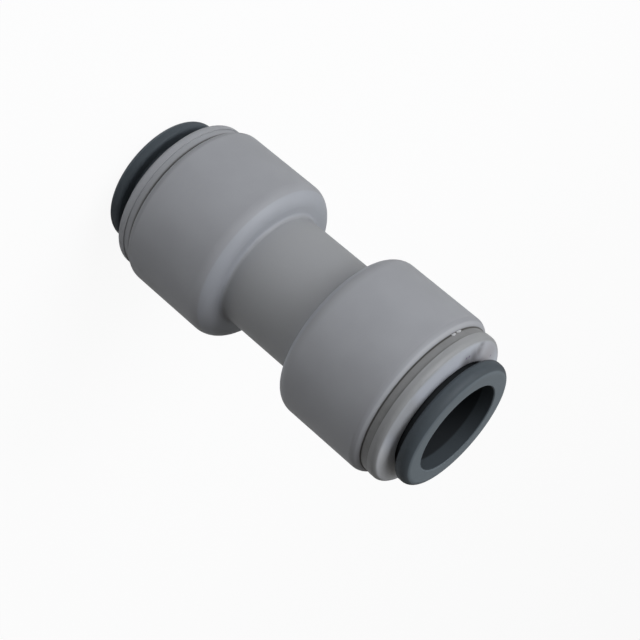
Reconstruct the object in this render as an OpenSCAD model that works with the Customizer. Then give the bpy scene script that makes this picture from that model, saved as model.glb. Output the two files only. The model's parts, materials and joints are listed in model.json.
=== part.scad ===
// Straight push-in connector that joins two plastic tubes of the same size.
// One moulded body, and in each mouth an O-ring, an end cap and a slotted collet with steel teeth.
// The tube axis is Z, and the connector stands on the face of its lower collet.

/* [Tube] */
// Outer diameter of the tubes that are pushed in
tube_d = 8; // [6:0.5:12]
// Gap between a tube and the bores that guide it, on the radius
tube_clear = 0.1; // [0.05:0.01:0.2]

/* [Body] */
// Length of the moulded body from mouth to mouth
body_l = 26.4; // [25:0.2:36]
// Wall of the barrels around the end caps
body_wall = 0.98; // [0.8:0.02:2]
// Length of the slimmer neck between the two shoulders
neck_l = 8.2; // [5:0.1:9.5]
// Wall of the neck around the tube socket
neck_wall = 1.1; // [0.8:0.05:1.6]
// Radius of the rounded shoulders
shoulder_r = 1.4; // [0.4:0.1:1.6]
// Radius of the fillet where the neck meets a shoulder
root_r = 0.35; // [0.1:0.05:0.6]
// Radius of the rounded outer edge of a mouth
mouth_r = 0.8; // [0.2:0.05:0.9]
// Bore that joins the two tube sockets
waterway_d = 6; // [4.5:0.1:6.6]
// Thickness of the inner ledge that both tubes stop against
stop_t = 2; // [1:0.1:3]
// Bevel that leads a tube past the O-ring into its socket
socket_bevel = 0.3; // [0.1:0.05:0.4]

/* [Seal] */
// Thickness of the O-ring
seal_d = 2; // [1.5:0.1:2.2]
// How far the O-ring reaches inside the tube's outer radius before it is squeezed
seal_squeeze = 0.2; // [0.1:0.05:0.3]
// Gap between the O-ring and its seat
seal_clear = 0.05; // [0.02:0.01:0.1]

/* [End cap] */
// Wall of the cap's sleeve around the finger chamber
cap_wall = 0.8; // [0.6:0.05:1.4]
// Gap between the cap's sleeve and the bore that it is welded into
cap_fit = 0.02; // [0.01:0.01:0.05]
// How far the visible ring stands out from the sleeve
ring_rise = 0.54; // [0.3:0.02:0.9]
// Length of the visible ring at its outer edge
ring_l = 0.76; // [0.7:0.01:1.6]
// Radius of the ring's rounded front edge
ring_front_r = 0.45; // [0.2:0.05:0.7]
// Slope of the cap's front, which rises from the ring's edge towards the collet
nose_slope = 12; // [0:1:20]
// Width of the shallow groove between body and ring
groove_w = 0.66; // [0.3:0.01:0.8]
// Depth of that groove below the ring
groove_depth = 0.08; // [0.04:0.01:0.2]
// Length of the plain throat that guides the collet
throat_l = 2.45; // [1.5:0.05:3]
// Radius of the throat's rounded front edge
throat_edge_r = 0.2; // [0.1:0.05:0.4]
// Bevel around the sleeve's inner end
cap_bevel = 0.25; // [0.1:0.05:0.35]
// Gap between the cap's inner end and the step in the body
cap_end_gap = 0.1; // [0.05:0.05:0.3]

/* [Collet] */
// Wall of the collet's sleeve
collet_wall = 0.75; // [0.6:0.05:1.1]
// Gap between the sleeve and the throat
collet_clear = 0.12; // [0.06:0.02:0.2]
// How far the flange stands out from the sleeve
flange_rise = 1.02; // [0.6:0.02:1.4]
// Thickness of the flange
flange_t = 1.2; // [1.16:0.02:2]
// Radius of the flange's front edge
flange_front_r = 0.65; // [0.2:0.05:0.7]
// Radius of the flange's back edge
flange_back_r = 0.3; // [0.1:0.05:0.5]
// Bevel around the bore's mouth
bore_bevel = 0.08; // [0.04:0.02:0.3]
// Room between flange and cap when the collet is fully out
release_gap = 0.92; // [0.8:0.02:1.6]
// How far the upper collet rests pushed in
upper_push = 0.39; // [0:0.01:0.7]
// How far the lower collet rests pushed in
lower_push = 0; // [0:0.01:0.7]

/* [Fingers] */
// Number of gripping fingers on each collet
finger_n = 6; // [4:1:8]
// Length of the slots between the fingers
finger_l = 4; // [3:0.1:4.8]
// Width of those slots
slot_w = 0.9; // [0.5:0.1:1.2]
// How far the finger heads stand out from the sleeve
head_rise = 0.65; // [0.5:0.05:0.9]
// Length of the straight part of the heads
head_l = 1.3; // [1.1:0.1:2]
// Bevel at the inner end of the heads
head_bevel = 0.4; // [0.2:0.05:0.5]
// Slope of the cam faces on the heads and in the cap, from the axis
cam_angle = 40; // [30:1:50]
// Play along the axis before the cam faces meet
cam_play = 0.15; // [0.1:0.01:0.3]
// Gap between the heads and the chamber around them
head_clear = 0.2; // [0.15:0.05:0.4]
// Gap between the pushed-in heads and the cap's inner end
end_clear = 0.65; // [0.2:0.05:0.8]

/* [Teeth] */
// Thickness of the steel teeth
tooth_t = 0.25; // [0.2:0.01:0.35]
// How far the tips reach inside the tube's outer radius
tooth_bite = 0.1; // [0.05:0.01:0.12]
// Arc that each tooth covers
tooth_arc = 30; // [15:1:32]
// Lean of the teeth towards the inner end
tooth_lean = 27; // [10:1:32]
// Height of the tips above the collet's inner end
tooth_set = 0.6; // [0.4:0.05:0.7]
// Plastic left outside each tooth
tooth_cover = 0.3; // [0.2:0.05:0.5]
// Gap between a tooth and its pocket
tooth_fit = 0.03; // [0.01:0.01:0.05]

/* [Hidden] */
$fn = 96;
over = 0.5; // how far cutters reach past the surfaces that they cut

// Radii, worked outwards from the tube
bore_r = tube_d / 2 + tube_clear;
sleeve_r = bore_r + collet_wall;
throat_r = sleeve_r + collet_clear;
head_r = sleeve_r + head_rise;
chamber_r = head_r + head_clear;
cap_r = chamber_r + cap_wall;
cap_seat_r = cap_r + cap_fit;
barrel_r = cap_seat_r + body_wall;
neck_r = bore_r + neck_wall;
ring_r = cap_r + ring_rise;
groove_r = ring_r - groove_depth;
flange_r = sleeve_r + flange_rise;
seal_in_r = tube_d / 2 - seal_squeeze;
seal_mid_r = seal_in_r + seal_d / 2;
seal_seat_r = seal_in_r + seal_d + seal_clear;

// Heights of one end, measured from the middle of the body
mouth_z = body_l / 2;
ring_z = mouth_z + groove_w;
ring_end_z = ring_z + ring_l;
cap_front_z = ring_end_z + (ring_r - throat_r) * tan(nose_slope);
throat_z = cap_front_z - throat_l;
flange_z = cap_front_z + release_gap;
face_z = flange_z + flange_t;
chamber_z = throat_z - (chamber_r - throat_r) / tan(cam_angle);
cam_low_z = throat_z - (head_r - throat_r) / tan(cam_angle) - cam_play;
cam_top_z = cam_low_z + head_rise / tan(cam_angle);
finger_z = cam_low_z - head_l - head_bevel;
cap_in_z = finger_z - release_gap - end_clear;
step_z = cap_in_z - cap_end_gap;
seal_z = step_z - seal_clear - seal_d / 2;
socket_top_z = seal_z - seal_clear - seal_d / 2;

// Height of the body's middle above the face that the connector stands on
middle_z = face_z - lower_push;

// Teeth
tip_r = tube_d / 2 - tooth_bite;
root_of_tooth_r = head_r - tooth_cover;
tooth_l = (root_of_tooth_r - tip_r) / cos(tooth_lean);
finger_step = 360 / finger_n;

body_grey = [0.57, 0.58, 0.59];
cap_grey = [0.60, 0.61, 0.62];
collet_grey = [0.29, 0.33, 0.36];
seal_black = [0.09, 0.09, 0.10];
steel = [0.74, 0.75, 0.77];

// Places a cutter at a corner of a profile. The solid lies inwards of the corner and below it,
// or outwards with out = -1, or above it with up = -1.
module at_corner(corner, out = 1, up = 1) {
    translate(corner)
        mirror([out < 0 ? 1 : 0, 0])
            mirror([0, up < 0 ? 1 : 0])
                children();
}

// Rounds a corner between an upright side and a face that rises inwards at a slope
module round_corner(corner, r, out = 1, up = 1, slope = 0) {
    back = r * tan((90 - slope) / 2);
    reach = r + over;
    at_corner(corner, out, up)
        translate([-r, -back])
            difference() {
                polygon([
                    [0, 0],
                    [reach, 0],
                    [reach, back + over],
                    [reach * sin(slope), reach * cos(slope)]
                ]);
                circle(r);
            }
}

module bevel_corner(corner, b, out = 1, up = 1) {
    at_corner(corner, out, up)
        polygon([[-b - over, over], [over, over], [over, -b - over]]);
}

// Profiles are drawn as radius against height and turned about the tube axis
module turned() {
    rotate_extrude() children();
}

// Places one end's pieces on the upper end (side = 1) or the lower end (side = -1)
module at_end(side, push = 0) {
    translate([0, 0, middle_z])
        mirror([0, 0, side < 0 ? 1 : 0])
            translate([0, 0, -push])
                children();
}

// Half of the body's outside: neck, root fillet and barrel
module body_outside() {
    square([neck_r, neck_l / 2 + over]);
    translate([neck_r, neck_l / 2 - root_r])
        difference() {
            square(root_r);
            translate([root_r, 0]) circle(root_r);
        }
    difference() {
        translate([0, neck_l / 2]) square([barrel_r, mouth_z - neck_l / 2]);
        round_corner([barrel_r, neck_l / 2], shoulder_r, 1, -1);
        round_corner([barrel_r, mouth_z], min(mouth_r, body_wall));
    }
}

// Half of the body's inside: waterway, tube socket, O-ring seat and cap seat
module body_inside() {
    square([waterway_d / 2, socket_top_z]);
    translate([0, stop_t / 2]) square([bore_r, socket_top_z]);
    translate([0, socket_top_z]) square([seal_seat_r, mouth_z - socket_top_z]);
    translate([0, step_z]) square([cap_seat_r, mouth_z - step_z + over]);
    bevel_corner([bore_r, socket_top_z], socket_bevel, -1, 1);
}

module body() {
    color(body_grey)
        translate([0, 0, middle_z])
            turned()
                for (half = [0, 1])
                    mirror([0, half])
                        difference() {
                            body_outside();
                            body_inside();
                        }
}

// Sleeve in the body, shallow groove, and the ring with its sloping front
module end_cap() {
    color(cap_grey)
        turned() difference() {
            union() {
                difference() {
                    translate([0, cap_in_z]) square([cap_r, mouth_z - cap_in_z]);
                    bevel_corner([cap_r, cap_in_z], cap_bevel, 1, -1);
                }
                translate([0, mouth_z]) square([groove_r, groove_w]);
                difference() {
                    polygon([
                        [0, ring_z],
                        [ring_r, ring_z],
                        [ring_r, ring_end_z],
                        [throat_r, cap_front_z],
                        [0, cap_front_z]
                    ]);
                    round_corner([ring_r, ring_end_z], ring_front_r, slope = nose_slope);
                }
            }
            translate([0, cap_in_z - over])
                square([chamber_r, chamber_z - cap_in_z + over]);
            polygon([[0, chamber_z], [chamber_r, chamber_z], [throat_r, throat_z], [0, throat_z]]);
            translate([0, throat_z]) square([throat_r, throat_l + over]);
            round_corner([throat_r, cap_front_z], throat_edge_r, -1, 1, -nose_slope);
        }
}

module o_ring() {
    color(seal_black)
        translate([0, 0, seal_z])
            turned() translate([seal_mid_r, 0]) circle(seal_d / 2);
}

// Sleeve, flange and finger heads of a collet before it is slotted
module collet_blank() {
    turned() difference() {
        union() {
            translate([0, finger_z]) square([sleeve_r, face_z - finger_z]);
            difference() {
                translate([0, flange_z]) square([flange_r, flange_t]);
                round_corner([flange_r, face_z], flange_front_r);
                round_corner([flange_r, flange_z], flange_back_r, 1, -1);
            }
            polygon([
                [bore_r, finger_z],
                [head_r - head_bevel, finger_z],
                [head_r, finger_z + head_bevel],
                [head_r, cam_low_z],
                [sleeve_r, cam_top_z],
                [bore_r, cam_top_z]
            ]);
        }
        translate([0, finger_z - over]) square([bore_r, face_z - finger_z + 2 * over]);
        bevel_corner([bore_r, face_z], bore_bevel, -1, 1);
    }
}

// One slot with a round root, open at the collet's inner end
module finger_slot() {
    translate([0, -slot_w / 2, finger_z - over])
        cube([head_r + over, slot_w, finger_l + over - slot_w / 2]);
    translate([0, 0, finger_z + finger_l - slot_w / 2])
        rotate([0, 90, 0]) cylinder(d = slot_w, h = head_r + over);
}

// Places a tooth's profile, whose tip is at the origin, and turns it through an arc
module tooth_turned(arc) {
    rotate([0, 0, -arc / 2])
        rotate_extrude(angle = arc)
            translate([tip_r, finger_z + tooth_set])
                rotate(tooth_lean) children();
}

module tooth() {
    color(steel)
        tooth_turned(tooth_arc)
            polygon([
                [0, 0],
                [tooth_t, -tooth_t / 2],
                [tooth_l, -tooth_t / 2],
                [tooth_l, tooth_t / 2],
                [tooth_t, tooth_t / 2]
            ]);
}

// Pocket that holds a tooth, open towards the bore
module tooth_pocket() {
    tooth_turned(tooth_arc + 2 * tooth_fit * 180 / (PI * bore_r))
        translate([-over, -tooth_t / 2 - tooth_fit])
            square([tooth_l + tooth_fit + over, tooth_t + 2 * tooth_fit]);
}

module collet() {
    color(collet_grey)
        difference() {
            collet_blank();
            for (i = [1:finger_n]) {
                rotate([0, 0, i * finger_step]) finger_slot();
                rotate([0, 0, (i - 0.5) * finger_step]) tooth_pocket();
            }
        }
}

module finger_tooth(i) {
    rotate([0, 0, (i - 0.5) * finger_step]) tooth();
}

body();
at_end(1) end_cap();  // end_cap_upper
at_end(-1) end_cap();  // end_cap_lower
at_end(1) o_ring();  // o_ring_upper
at_end(-1) o_ring();  // o_ring_lower
at_end(1, upper_push) collet();  // collet_upper
at_end(-1, lower_push) collet();  // collet_lower
for (i = [1:finger_n]) {
    at_end(1, upper_push) finger_tooth(i);
    at_end(-1, lower_push) finger_tooth(i);
}
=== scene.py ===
"""Looks of a straight push-in tube connector: finishes, fine marks, floor, light and camera.

Everything is in metres, in the frame of the solids, where a comment doesn't say millimetres.
The tube axis is Z, and a height is a distance along it from the middle, towards either end.
"""

import json
import math

import bmesh
import bpy
from mathutils import Matrix, Vector


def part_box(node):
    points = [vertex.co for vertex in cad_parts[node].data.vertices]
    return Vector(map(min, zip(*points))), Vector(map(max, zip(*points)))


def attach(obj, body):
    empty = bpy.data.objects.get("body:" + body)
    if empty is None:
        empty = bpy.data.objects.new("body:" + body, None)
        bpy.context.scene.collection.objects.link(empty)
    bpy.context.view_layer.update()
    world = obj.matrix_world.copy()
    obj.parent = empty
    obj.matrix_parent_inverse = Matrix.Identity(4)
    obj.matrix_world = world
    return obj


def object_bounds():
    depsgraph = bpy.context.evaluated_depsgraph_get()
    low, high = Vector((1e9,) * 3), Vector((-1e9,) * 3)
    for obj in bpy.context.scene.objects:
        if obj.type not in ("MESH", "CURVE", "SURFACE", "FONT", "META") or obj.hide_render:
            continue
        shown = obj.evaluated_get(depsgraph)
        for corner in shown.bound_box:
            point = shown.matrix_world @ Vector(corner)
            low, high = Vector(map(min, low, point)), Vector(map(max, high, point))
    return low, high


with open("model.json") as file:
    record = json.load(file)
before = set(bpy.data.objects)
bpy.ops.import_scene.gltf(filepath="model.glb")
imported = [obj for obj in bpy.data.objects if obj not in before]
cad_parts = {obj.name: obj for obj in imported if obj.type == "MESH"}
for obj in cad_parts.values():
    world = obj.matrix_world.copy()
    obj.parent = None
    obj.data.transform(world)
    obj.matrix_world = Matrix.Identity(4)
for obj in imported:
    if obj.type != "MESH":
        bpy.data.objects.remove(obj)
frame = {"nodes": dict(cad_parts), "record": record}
cad_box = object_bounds()

MM = 0.001

# Corners and the middle of the solids
BODY_LOW, BODY_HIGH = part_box("body")
CAP_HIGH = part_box("end_cap_upper")[1]
COLLET_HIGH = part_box("collet_upper")[1]
MIDDLE = (BODY_LOW.z + BODY_HIGH.z) / 2

# Heights and radii on the solids, in millimetres
CENTRE = MIDDLE / MM
SHOULDER = 4.1
MOUTH = (BODY_HIGH.z - MIDDLE) / MM
RING = MOUTH + 0.66
FACE = (COLLET_HIGH.z - MIDDLE) / MM
FLANGE = FACE - 1.2
BORE_R = 4.1
THROAT_R = 4.97
GROOVE_R = CAP_HIGH.x / MM - 0.08

# Bands of paint, in millimetres: both edges, and how wide the soft sides outside them are
SHOULDER_CREST = (SHOULDER - 0.04, SHOULDER + 0.56, 0.12)
MOUTH_BEND = (MOUTH - 0.66, MOUTH - 0.42, 0.12)
MOUTH_CREST = (MOUTH - 0.28, MOUTH - 0.18, 0.07)
UPPER_CREVICE = (MOUTH - 0.2, MOUTH + 0.03, 0.05)
LOWER_CREVICE = (MOUTH - 0.2, MOUTH + 0.08, 0.16)
GROOVE = (MOUTH, RING, 0.03)
RING_EDGE = (RING - 0.03, RING + 0.01, 0.05)
FRONT_MIDDLE_X = (1.0, 3.2, 1.2)

# Fades of paint, in millimetres: where it begins, and where it is full
NECK_FADE = (SHOULDER + 0.4, SHOULDER - 1.6)
MOUTH_SHADE_FADE = (MOUTH - 0.4, MOUTH - 0.2)
INSIDE_FADE = (GROOVE_R + 0.13, GROOVE_R + 0.02)
UPPER_CAP_FADE = (CENTRE - 1, CENTRE + 1)
FRONT_FADE = (RING + 0.75, RING + 0.87)
FRONT_WARM_X = (3.6, 5.4)
THROAT_FADE = (THROAT_R + 0.16, THROAT_R + 0.04)
LOWER_COLLET_FADE = (CENTRE, CENTRE - 1)
FACE_FADE = (FACE - 0.10, FACE - 0.04)
BORE_FADE = (BORE_R + 0.06, BORE_R + 0.02)
STEM_FADE = (FLANGE + 0.1, FLANGE - 0.1)

# Marks on the upper cap's front, in millimetres: x, y, height and reach
STREAK = [
    (-6.05, -2.55, 14.9, 0.8),
    (-5.50, -2.45, 14.9, 1.1),
    (-4.85, -2.70, 14.9, 1.4),
    (-4.10, -3.25, 14.9, 1.3),
]
# painted reflection: a pinkish patch on the cap's front
PINK_PATCH = [(-5.7, -0.3, 14.9, 3.0)]
SPECKS = [(-4.40, -3.71, 14.89, 0.17), (-4.66, -3.45, 14.89, 0.17), (-5.92, 0.39, 14.89, 0.17)]

# Beads of weld flash: name, azimuth in degrees, height in millimetres, and half the length,
# depth and width in millimetres
WELD_FLASH = [
    ("weld_flash_1", -143.2, 13.18, (0.29, 0.07, 0.11)),
    ("weld_flash_2", -137.6, 13.22, (0.24, 0.065, 0.10)),
]

# Colours, as linear red, green and blue
BODY_GREY = (0.305, 0.312, 0.325)
# painted shade: the neck's grey, a little darker and warmer than the body's
NECK_SHADE_GREY = (0.297, 0.303, 0.308)
# painted highlight: the bluish sheen on the shoulder's crest
SHOULDER_HIGHLIGHT_BLUE = (0.340, 0.355, 0.381)
CAP_GREY = (0.272, 0.277, 0.277)
# painted light: the lower cap is a paler, lit copy of the cap grey
LOWER_CAP_LIT_GREY = (0.325, 0.333, 0.346)
# painted reflection and light on the upper cap's front: bluish, grey in the middle, warm to one
# side
FRONT_REFLECTION_BLUE = (0.430, 0.453, 0.490)
FRONT_REFLECTION_GREY = (0.372, 0.384, 0.398)
FRONT_LIT_WARM = (0.585, 0.598, 0.605)
STREAK_GREY = (0.150, 0.148, 0.155)
# painted reflection: the pinkish patch on the cap's front
PATCH_PINK = (0.275, 0.262, 0.272)
SPECK_PURPLE = (0.120, 0.075, 0.150)
# painted shade in the crevices, the groove and at the ring's edge
CREVICE_SHADE = (0.047, 0.043, 0.033)
# painted shade: black in the gap round the collet, in its bore and on its stem
SHADE_BLACK = (0.008, 0.009, 0.010)
COLLET_GREY = (0.056, 0.068, 0.077)
# painted light: the lower collet is a paler, lit copy of the collet grey
LOWER_COLLET_LIT_GREY = (0.0672, 0.0816, 0.0924)
# painted reflection: the collet's flat face, paler
FACE_REFLECTION_GREY = (0.107, 0.130, 0.144)
RUBBER_BLACK = (0.012, 0.012, 0.013)
STEEL = (0.52, 0.53, 0.55)
FLASH_GREY = (0.4352, 0.4432, 0.4432)
FLOOR_GREY = (0.65, 0.65, 0.65)
FLOOR_WHITE = (0.90, 0.90, 0.90)
FILL_COLOUR = (1.0, 0.94, 0.88)
WHITE = (1.0, 1.0, 1.0)

# Shares of a colour that make its pale and dark places: random clouds, painted shade on the
# mouth's bend, a painted highlight on the crests, and the steel's grain
CLOUD_PALE = 1.07
CLOUD_DARK = 0.94
BEND_SHADE = 0.93
CREST_HIGHLIGHT = 1.14
GRAIN_DARK = 0.8

# Levels of a noise between which a paint fades in
PALE_CLOUD = (0.35, 0.75)
DARK_CLOUD = (0.65, 0.25)
DARK_GRAIN = (0.4, 0.7)

# The least cover of a patchy paint, and how much more its noise adds
HIGHLIGHT_LEAST, HIGHLIGHT_MORE = 0.7, 0.3
GROOVE_SHADE_LEAST, GROOVE_SHADE_MORE = 0.20, 0.25

# Depths of the surface textures
SKIN_DEPTH = 0.004 * MM
COLLET_SKIN_DEPTH = 0.003 * MM
RUBBER_DEPTH = 0.003 * MM

# The photograph's camera
PHOTO_PX = 640
FOCAL_PX = 1775.7
SENSOR_MM = 36.0
CAMERA_AT = Vector((0.490, -130.340, 73.974)) * MM
LOOK = Vector((0.0, 0.92246, -0.38609))
PICTURE_RIGHT = Vector((-0.64651, 0.29455, 0.70375))
NEAREST_SEEN = 0.005
FURTHEST_SEEN = 20.0

# Half the side of the square floor
FLOOR_HALF = 3.0

# How much of the white background shows in a gloss, and in the floor's shadow
GLOSS_SHARE = 0.15
SHADOWLESS_SHARE = 0.93

# Lamps: name, height of the point on the axis that they face, azimuth and elevation in degrees,
# distance from it, side of the square lamp, strength and colour
LAMPS = [
    ("key_lamp", MIDDLE, -146, 38, 0.40, 0.30, 0.63, (0.95, 0.96, 1.0)),
    ("top_lamp", MIDDLE, -135, 65, 0.40, 0.26, 0.32, (0.92, 0.94, 1.0)),
    ("side_lamp", MIDDLE, -100, 6, 0.40, 0.26, 0.24, (0.94, 0.96, 1.0)),
    ("back_lamp", MIDDLE, 160, 45, 0.40, 0.26, 0.11, (1.0, 1.0, 0.94)),
    ("near_lamp", COLLET_HIGH.z, 105, 32, 0.07, 0.05, 0.13, (0.94, 0.97, 1.0)),
]
FILL_STRENGTH = 0.08


class Value:
    """A number that varies over a surface. Arithmetic on it adds Math nodes."""

    def __init__(self, graph, socket):
        self.graph = graph
        self.socket = socket

    def __add__(self, other):
        return self.graph.math("ADD", self, other)

    def __sub__(self, other):
        return self.graph.math("SUBTRACT", self, other)

    def __rsub__(self, other):
        return self.graph.math("SUBTRACT", other, self)

    def __mul__(self, other):
        return self.graph.math("MULTIPLY", self, other)

    def __abs__(self):
        return self.graph.math("ABSOLUTE", self)

    __radd__ = __add__
    __rmul__ = __mul__


class Graph:
    """The nodes of one material or of the world."""

    def __init__(self, tree):
        self.nodes = tree.nodes
        self.links = tree.links

    def add(self, kind, settings=None, inputs=None):
        """Adds a node, applies its settings, then sets or links its sockets."""
        node = self.nodes.new(kind)
        for name, value in (settings or {}).items():
            setattr(node, name, value)
        for name, value in (inputs or {}).items():
            self.feed(node.inputs[name], value)
        return node

    def feed(self, socket, value):
        source = value.socket if isinstance(value, Value) else value
        if isinstance(source, bpy.types.NodeSocket):
            self.links.new(source, socket)
        else:
            socket.default_value = source

    def math(self, operation, *numbers):
        node = self.add("ShaderNodeMath", {"operation": operation}, dict(enumerate(numbers)))
        return Value(self, node.outputs[0])

    def largest(self, first, *others):
        for other in others:
            first = self.math("MAXIMUM", first, other)
        return first

    def rise(self, value, low, high):
        """0 at low and 1 at high, with a smooth step between them. Low may be above high."""
        node = self.add(
            "ShaderNodeMapRange",
            {"interpolation_type": "SMOOTHSTEP"},
            {"Value": value, "From Min": low, "From Max": high},
        )
        return Value(self, node.outputs[0])

    def band(self, value, low, high, soft):
        """1 between low and high, with smooth sides of the width soft outside them."""
        return self.rise(value, low - soft, low) * (1 - self.rise(value, high, high + soft))

    def blend(self, factor, first, second):
        """The colour first where factor is 0 and second where it is 1."""
        node = self.add("ShaderNodeMix", {"data_type": "RGBA"}, {0: factor, 6: first, 7: second})
        return node.outputs[2]


class Finish(Graph):
    """A material on the tube axis, with its places measured in millimetres."""

    def __init__(self, name, colour, roughness, reflect):
        self.material = bpy.data.materials.new(name)
        self.material.use_nodes = True
        super().__init__(self.material.node_tree)
        self.shader = self.nodes["Principled BSDF"]
        self.colour = (*colour, 1)
        self.shader.inputs["Base Color"].default_value = self.colour
        self.shader.inputs["Roughness"].default_value = roughness
        self.shader.inputs["Specular IOR Level"].default_value = reflect
        place = self.add("ShaderNodeTexCoord").outputs["Object"]
        scale = {0: place, "Scale": 1 / MM}
        self.point = self.add("ShaderNodeVectorMath", {"operation": "SCALE"}, scale).outputs[0]
        split = self.add("ShaderNodeSeparateXYZ", {}, {0: self.point})
        self.x, self.y, self.z = [Value(self, socket) for socket in split.outputs]
        self.radius = self.math("SQRT", self.x * self.x + self.y * self.y)
        self.height = abs(self.z - CENTRE)

    def noise(self, size, detail, point=None):
        """Noise from 0 to 1 whose features are about size millimetres wide."""
        sockets = {"Vector": point or self.point, "Scale": 1 / size, "Detail": detail}
        return Value(self, self.add("ShaderNodeTexNoise", {}, sockets).outputs[0])

    def spots(self, places):
        """1 at each of the places on the upper end, fading to 0 at its reach."""
        masks = []
        for x, y, height, reach in places:
            ends = {0: self.point, 1: (x, y, CENTRE + height)}
            node = self.add("ShaderNodeVectorMath", {"operation": "DISTANCE"}, ends)
            masks.append(1 - self.rise(Value(self, node.outputs["Value"]), 0.0, reach))
        return self.largest(*masks)

    def paint(self, mask, colour, cover=1.0):
        """Covers the colour so far with another where the mask is 1, as thickly as cover says."""
        self.colour = self.blend(mask * cover, self.colour, (*colour, 1))
        self.feed(self.shader.inputs["Base Color"], self.colour)

    def uneven_gloss(self, least, spread, pattern):
        """Lets the roughness follow a pattern, from least to least plus spread."""
        self.feed(self.shader.inputs["Roughness"], least + spread * pattern)

    def relief(self, height, depth):
        """Raises the surface by up to depth metres where height is 1."""
        bump = self.add("ShaderNodeBump", {}, {"Distance": depth, "Height": height})
        self.links.new(bump.outputs[0], self.shader.inputs["Normal"])


def shaded(colour, share):
    return tuple(channel * share for channel in colour)


def moulded(name, colour, roughness, reflect, skin):
    """Satin moulded acetal: faint cloudy tone, uneven gloss and a fine skin texture."""
    finish = Finish(name, colour, roughness, reflect)
    cloud = finish.noise(size=5.0, detail=3.0)
    finish.paint(finish.rise(cloud, *PALE_CLOUD), shaded(colour, CLOUD_PALE), cover=0.6)
    finish.paint(finish.rise(cloud, *DARK_CLOUD), shaded(colour, CLOUD_DARK), cover=0.6)
    patches = finish.noise(size=1.4, detail=4.0)
    finish.uneven_gloss(least=roughness - 0.05, spread=0.10, pattern=patches)
    finish.relief(finish.noise(size=0.16, detail=3.0), skin)
    return finish


def body_plastic():
    """Body grey, with painted shade on the neck and the mouth's bend, a patchy painted highlight
    on its crests, and painted shade in the crevice beside each end cap.
    """
    finish = moulded("body_plastic", BODY_GREY, roughness=0.46, reflect=0.28, skin=SKIN_DEPTH)
    height = finish.height
    patchy = HIGHLIGHT_LEAST + HIGHLIGHT_MORE * finish.noise(size=1.1, detail=2.0)
    # painted shade: the neck a little darker and warmer
    finish.paint(finish.rise(height, *NECK_FADE), NECK_SHADE_GREY)
    # painted shade over the broad bend of the mouth
    finish.paint(finish.band(height, *MOUTH_BEND), shaded(BODY_GREY, BEND_SHADE))
    # painted highlights, patchy, on the mouth's crest and the shoulder's crest
    finish.paint(finish.band(height, *MOUTH_CREST) * patchy, shaded(BODY_GREY, CREST_HIGHLIGHT))
    finish.paint(finish.band(height, *SHOULDER_CREST) * patchy, SHOULDER_HIGHLIGHT_BLUE)
    # painted shade in the crevice beside each end cap
    crevice = finish.rise(finish.radius, *INSIDE_FADE) * finish.rise(height, *MOUTH_SHADE_FADE)
    finish.paint(crevice, CREVICE_SHADE, cover=0.85)
    return finish.material


def paint_front(finish, front):
    """The upper cap's front: a painted reflection, bluish, with painted light warmer to one side,
    a pinkish patch of painted reflection, a dark streak and a few marks.
    """
    # painted reflection and painted light on the front
    finish.paint(front, FRONT_REFLECTION_BLUE)
    finish.paint(front * finish.band(finish.x, *FRONT_MIDDLE_X), FRONT_REFLECTION_GREY)
    finish.paint(front * finish.rise(finish.x, *FRONT_WARM_X), FRONT_LIT_WARM)
    finish.paint(front * finish.spots(STREAK), STREAK_GREY, cover=0.9)
    finish.paint(front * finish.spots(PINK_PATCH), PATCH_PINK, cover=0.8)
    finish.paint(front * finish.spots(SPECKS), SPECK_PURPLE)


def cap_plastic():
    """Cap grey, the lower cap painted paler as painted light, painted shade black in the gap
    round the collet, and painted shade, patchy, in the upper groove, in the crevices and at the
    ring's edge.
    """
    finish = moulded("cap_plastic", CAP_GREY, roughness=0.42, reflect=0.30, skin=SKIN_DEPTH)
    height = finish.height
    upper = finish.rise(finish.z, *UPPER_CAP_FADE)
    lower = 1 - upper
    # painted light: the lower cap paler
    finish.paint(lower, LOWER_CAP_LIT_GREY)
    paint_front(finish, upper * finish.rise(height, *FRONT_FADE))
    # painted shade: black in the gap round the collet
    finish.paint(finish.rise(finish.radius, *THROAT_FADE), SHADE_BLACK, cover=0.93)
    # painted shade, patchy, in the upper groove, then in the crevices and at the ring's edge
    groove_shade = GROOVE_SHADE_LEAST + GROOVE_SHADE_MORE * finish.noise(size=0.8, detail=3.0)
    finish.paint(finish.band(height, *GROOVE) * upper * groove_shade, CREVICE_SHADE)
    finish.paint(finish.band(height, *UPPER_CREVICE), CREVICE_SHADE, cover=0.7)
    finish.paint(finish.band(height, *LOWER_CREVICE) * lower, CREVICE_SHADE, cover=0.6)
    finish.paint(finish.band(height, *RING_EDGE) * upper, CREVICE_SHADE, cover=0.35)
    return finish.material


def collet_plastic():
    """Dark blue-grey collet, the lower one painted paler as painted light, its flat face paler as
    a painted reflection, and painted shade darkening the bore and stem.
    """
    finish = moulded(
        "collet_plastic", COLLET_GREY, roughness=0.54, reflect=0.22, skin=COLLET_SKIN_DEPTH
    )
    # painted light: the lower collet paler
    finish.paint(finish.rise(finish.z, *LOWER_COLLET_FADE), LOWER_COLLET_LIT_GREY)
    # painted reflection on the flat face
    finish.paint(finish.rise(finish.height, *FACE_FADE), FACE_REFLECTION_GREY)
    # painted shade in the bore and on the stem
    finish.paint(finish.rise(finish.radius, *BORE_FADE), SHADE_BLACK, cover=0.12)
    finish.paint(finish.rise(finish.height, *STEM_FADE), SHADE_BLACK, cover=0.8)
    return finish.material


def seal_rubber():
    """Smooth black rubber with a faint texture."""
    finish = Finish("seal_rubber", RUBBER_BLACK, roughness=0.5, reflect=0.5)
    finish.uneven_gloss(least=0.42, spread=0.15, pattern=finish.noise(size=0.7, detail=3.0))
    finish.relief(finish.noise(size=0.12, detail=2.0), RUBBER_DEPTH)
    return finish.material


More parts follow.
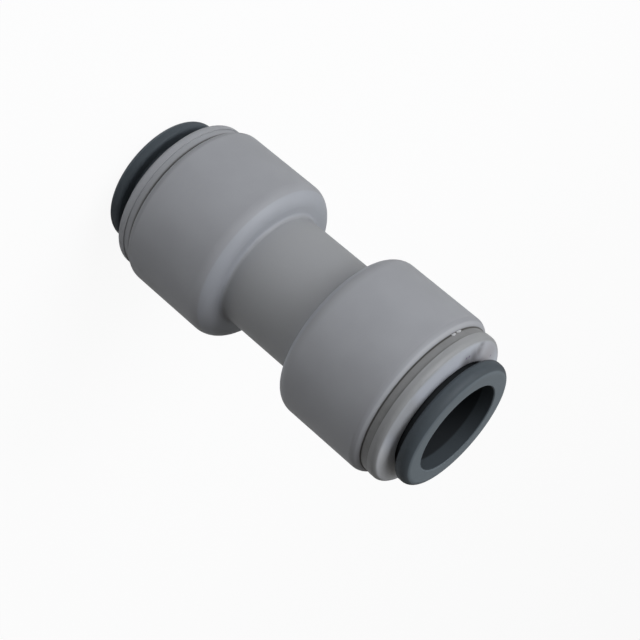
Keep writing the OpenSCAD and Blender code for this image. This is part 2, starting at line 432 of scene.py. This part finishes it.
def tooth_steel():
    """Rolled spring steel, with the grain of the strip running round the axis."""
    finish = Finish("tooth_steel", STEEL, roughness=0.28, reflect=0.5)
    finish.shader.inputs["Metallic"].default_value = 1.0
    across = finish.add("ShaderNodeCombineXYZ", {}, {"X": finish.radius, "Y": finish.z})
    grain = finish.noise(size=0.05, detail=2.0, point=across.outputs[0])
    finish.paint(finish.rise(grain, *DARK_GRAIN), shaded(STEEL, GRAIN_DARK), cover=0.5)
    finish.uneven_gloss(least=0.22, spread=0.14, pattern=grain)
    return finish.material


def flash_plastic():
    """Glossy plastic of the small beads of weld flash."""
    finish = Finish("flash_plastic", FLASH_GREY, roughness=0.3, reflect=0.4)
    finish.uneven_gloss(least=0.26, spread=0.1, pattern=finish.noise(size=0.2, detail=2.0))
    return finish.material


def dress_solids():
    """Gives every solid its finish, by the slots of the record."""
    finishes = {
        "body_plastic": body_plastic(),
        "cap_plastic": cap_plastic(),
        "collet_plastic": collet_plastic(),
        "seal_rubber": seal_rubber(),
        "tooth_steel": tooth_steel(),
    }
    for part in frame["record"]["subparts"]:
        node = frame["nodes"][part["node"]]
        if not node.material_slots:
            node.data.materials.append(None)
        for slot in node.material_slots:
            slot.material = finishes[part["material_slot"]]


def object_from(mesh, name):
    """A smooth-shaded object made from a bmesh, which it frees."""
    data = bpy.data.meshes.new(name)
    mesh.to_mesh(data)
    mesh.free()
    for face in data.polygons:
        face.use_smooth = True
    made = bpy.data.objects.new(name, data)
    bpy.context.scene.collection.objects.link(made)
    return made


def weld_flash(name, azimuth, height, half_sizes, finish):
    """A small lumpy bead in the crevice between the body's mouth and the upper cap's groove."""
    turn = math.radians(azimuth)
    out = Vector((math.cos(turn), math.sin(turn), 0))
    along = Vector((-out.y, out.x, 0))
    up = Vector((0, 0, 1))
    centre = (out * GROOVE_R + up * (CENTRE + height)) * MM
    length, depth, width = [half * MM for half in half_sizes]
    mesh = bmesh.new()
    bmesh.ops.create_icosphere(mesh, subdivisions=4, radius=1.0)
    for vert in mesh.verts:
        ripple = 0.12 * math.sin(5 * vert.co.x + 3 * vert.co.z) + 0.1 * math.sin(7 * vert.co.y)
        x, y, z = vert.co * (1 + ripple)
        vert.co = centre + along * x * length + out * y * depth + up * z * width
    bead = object_from(mesh, name)
    bead.data.materials.append(finish)
    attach(bead, "fitting")


def add_weld_flash():
    finish = flash_plastic()
    for name, azimuth, height, half_sizes in WELD_FLASH:
        weld_flash(name, azimuth, height, half_sizes, finish)


def make_camera():
    data = bpy.data.cameras.new("camera")
    data.sensor_width = SENSOR_MM
    data.lens = FOCAL_PX * SENSOR_MM / PHOTO_PX
    data.clip_start = NEAREST_SEEN
    data.clip_end = FURTHEST_SEEN
    camera = bpy.data.objects.new("camera", data)
    bpy.context.scene.collection.objects.link(camera)
    look = LOOK.normalized()
    right = (PICTURE_RIGHT - look * PICTURE_RIGHT.dot(look)).normalized()
    up = right.cross(look)
    turn = Matrix((right, up, -look)).transposed()
    camera.matrix_world = Matrix.Translation(CAMERA_AT) @ turn.to_4x4()
    bpy.context.scene.camera = camera


def seen_white(graph):
    """1 for a ray that shows the background, and GLOSS_SHARE for one that a gloss reflects."""
    rays = graph.add("ShaderNodeLightPath").outputs
    gloss = Value(graph, rays["Is Glossy Ray"]) * GLOSS_SHARE
    clear = Value(graph, rays["Is Transmission Ray"])
    return graph.largest(Value(graph, rays["Is Camera Ray"]), gloss, clear)


def make_floor():
    """A wide pale floor under the lower collet, white to the camera but for a faint shadow."""
    mesh = bmesh.new()
    ends = (-FLOOR_HALF, FLOOR_HALF)
    low, high = [[mesh.verts.new((x, y, cad_box[0].z)) for x in ends] for y in ends]
    mesh.faces.new([low[0], low[1], high[1], high[0]])
    floor = object_from(mesh, "floor")
    finish = Finish("floor", FLOOR_GREY, roughness=0.9, reflect=0.2)
    seen = seen_white(finish)
    finish.paint(seen, FLOOR_WHITE)
    white = finish.add("ShaderNodeEmission", {}, {"Color": (*WHITE, 1)}).outputs[0]
    sockets = {0: seen * SHADOWLESS_SHARE, 1: finish.shader.outputs[0], 2: white}
    mixed = finish.add("ShaderNodeMixShader", {}, sockets)
    finish.links.new(mixed.outputs[0], finish.nodes["Material Output"].inputs["Surface"])
    floor.data.materials.append(finish.material)


def make_world():
    """Even warm fill, with white behind the object."""
    world = bpy.data.worlds.new("world")
    world.use_nodes = True
    bpy.context.scene.world = world
    graph = Graph(world.node_tree)
    fill = graph.nodes["Background"]
    fill.inputs["Color"].default_value = (*FILL_COLOUR, 1)
    fill.inputs["Strength"].default_value = FILL_STRENGTH
    white = graph.add("ShaderNodeBackground", {}, {"Color": (*WHITE, 1)}).outputs[0]
    sockets = {0: seen_white(graph), 1: fill.outputs[0], 2: white}
    mixed = graph.add("ShaderNodeMixShader", {}, sockets)
    graph.links.new(mixed.outputs[0], graph.nodes["World Output"].inputs["Surface"])


def soft_lamp(name, height, azimuth, elevation, distance, size, strength, colour):
    """A square lamp that faces the axis. Strength 1 shows a facing colour about as written."""
    aim = Vector((0, 0, height))
    turn, rise = math.radians(azimuth), math.radians(elevation)
    level = math.cos(rise)
    out = Vector((math.cos(turn) * level, math.sin(turn) * level, math.sin(rise)))
    data = bpy.data.lights.new(name, "AREA")
    data.size = size
    data.energy = strength * (math.pi * distance) ** 2
    data.color = colour
    lamp = bpy.data.objects.new(name, data)
    bpy.context.scene.collection.objects.link(lamp)
    lamp.location = aim + out * distance
    lamp.rotation_mode = "QUATERNION"
    lamp.rotation_quaternion = (-out).to_track_quat("-Z", "Y")
    lamp.visible_camera = False


def make_light():
    make_world()
    for lamp in LAMPS:
        soft_lamp(*lamp)


bpy.context.scene.view_settings.view_transform = "Standard"
make_camera()
make_floor()
make_light()
dress_solids()
add_weld_flash()
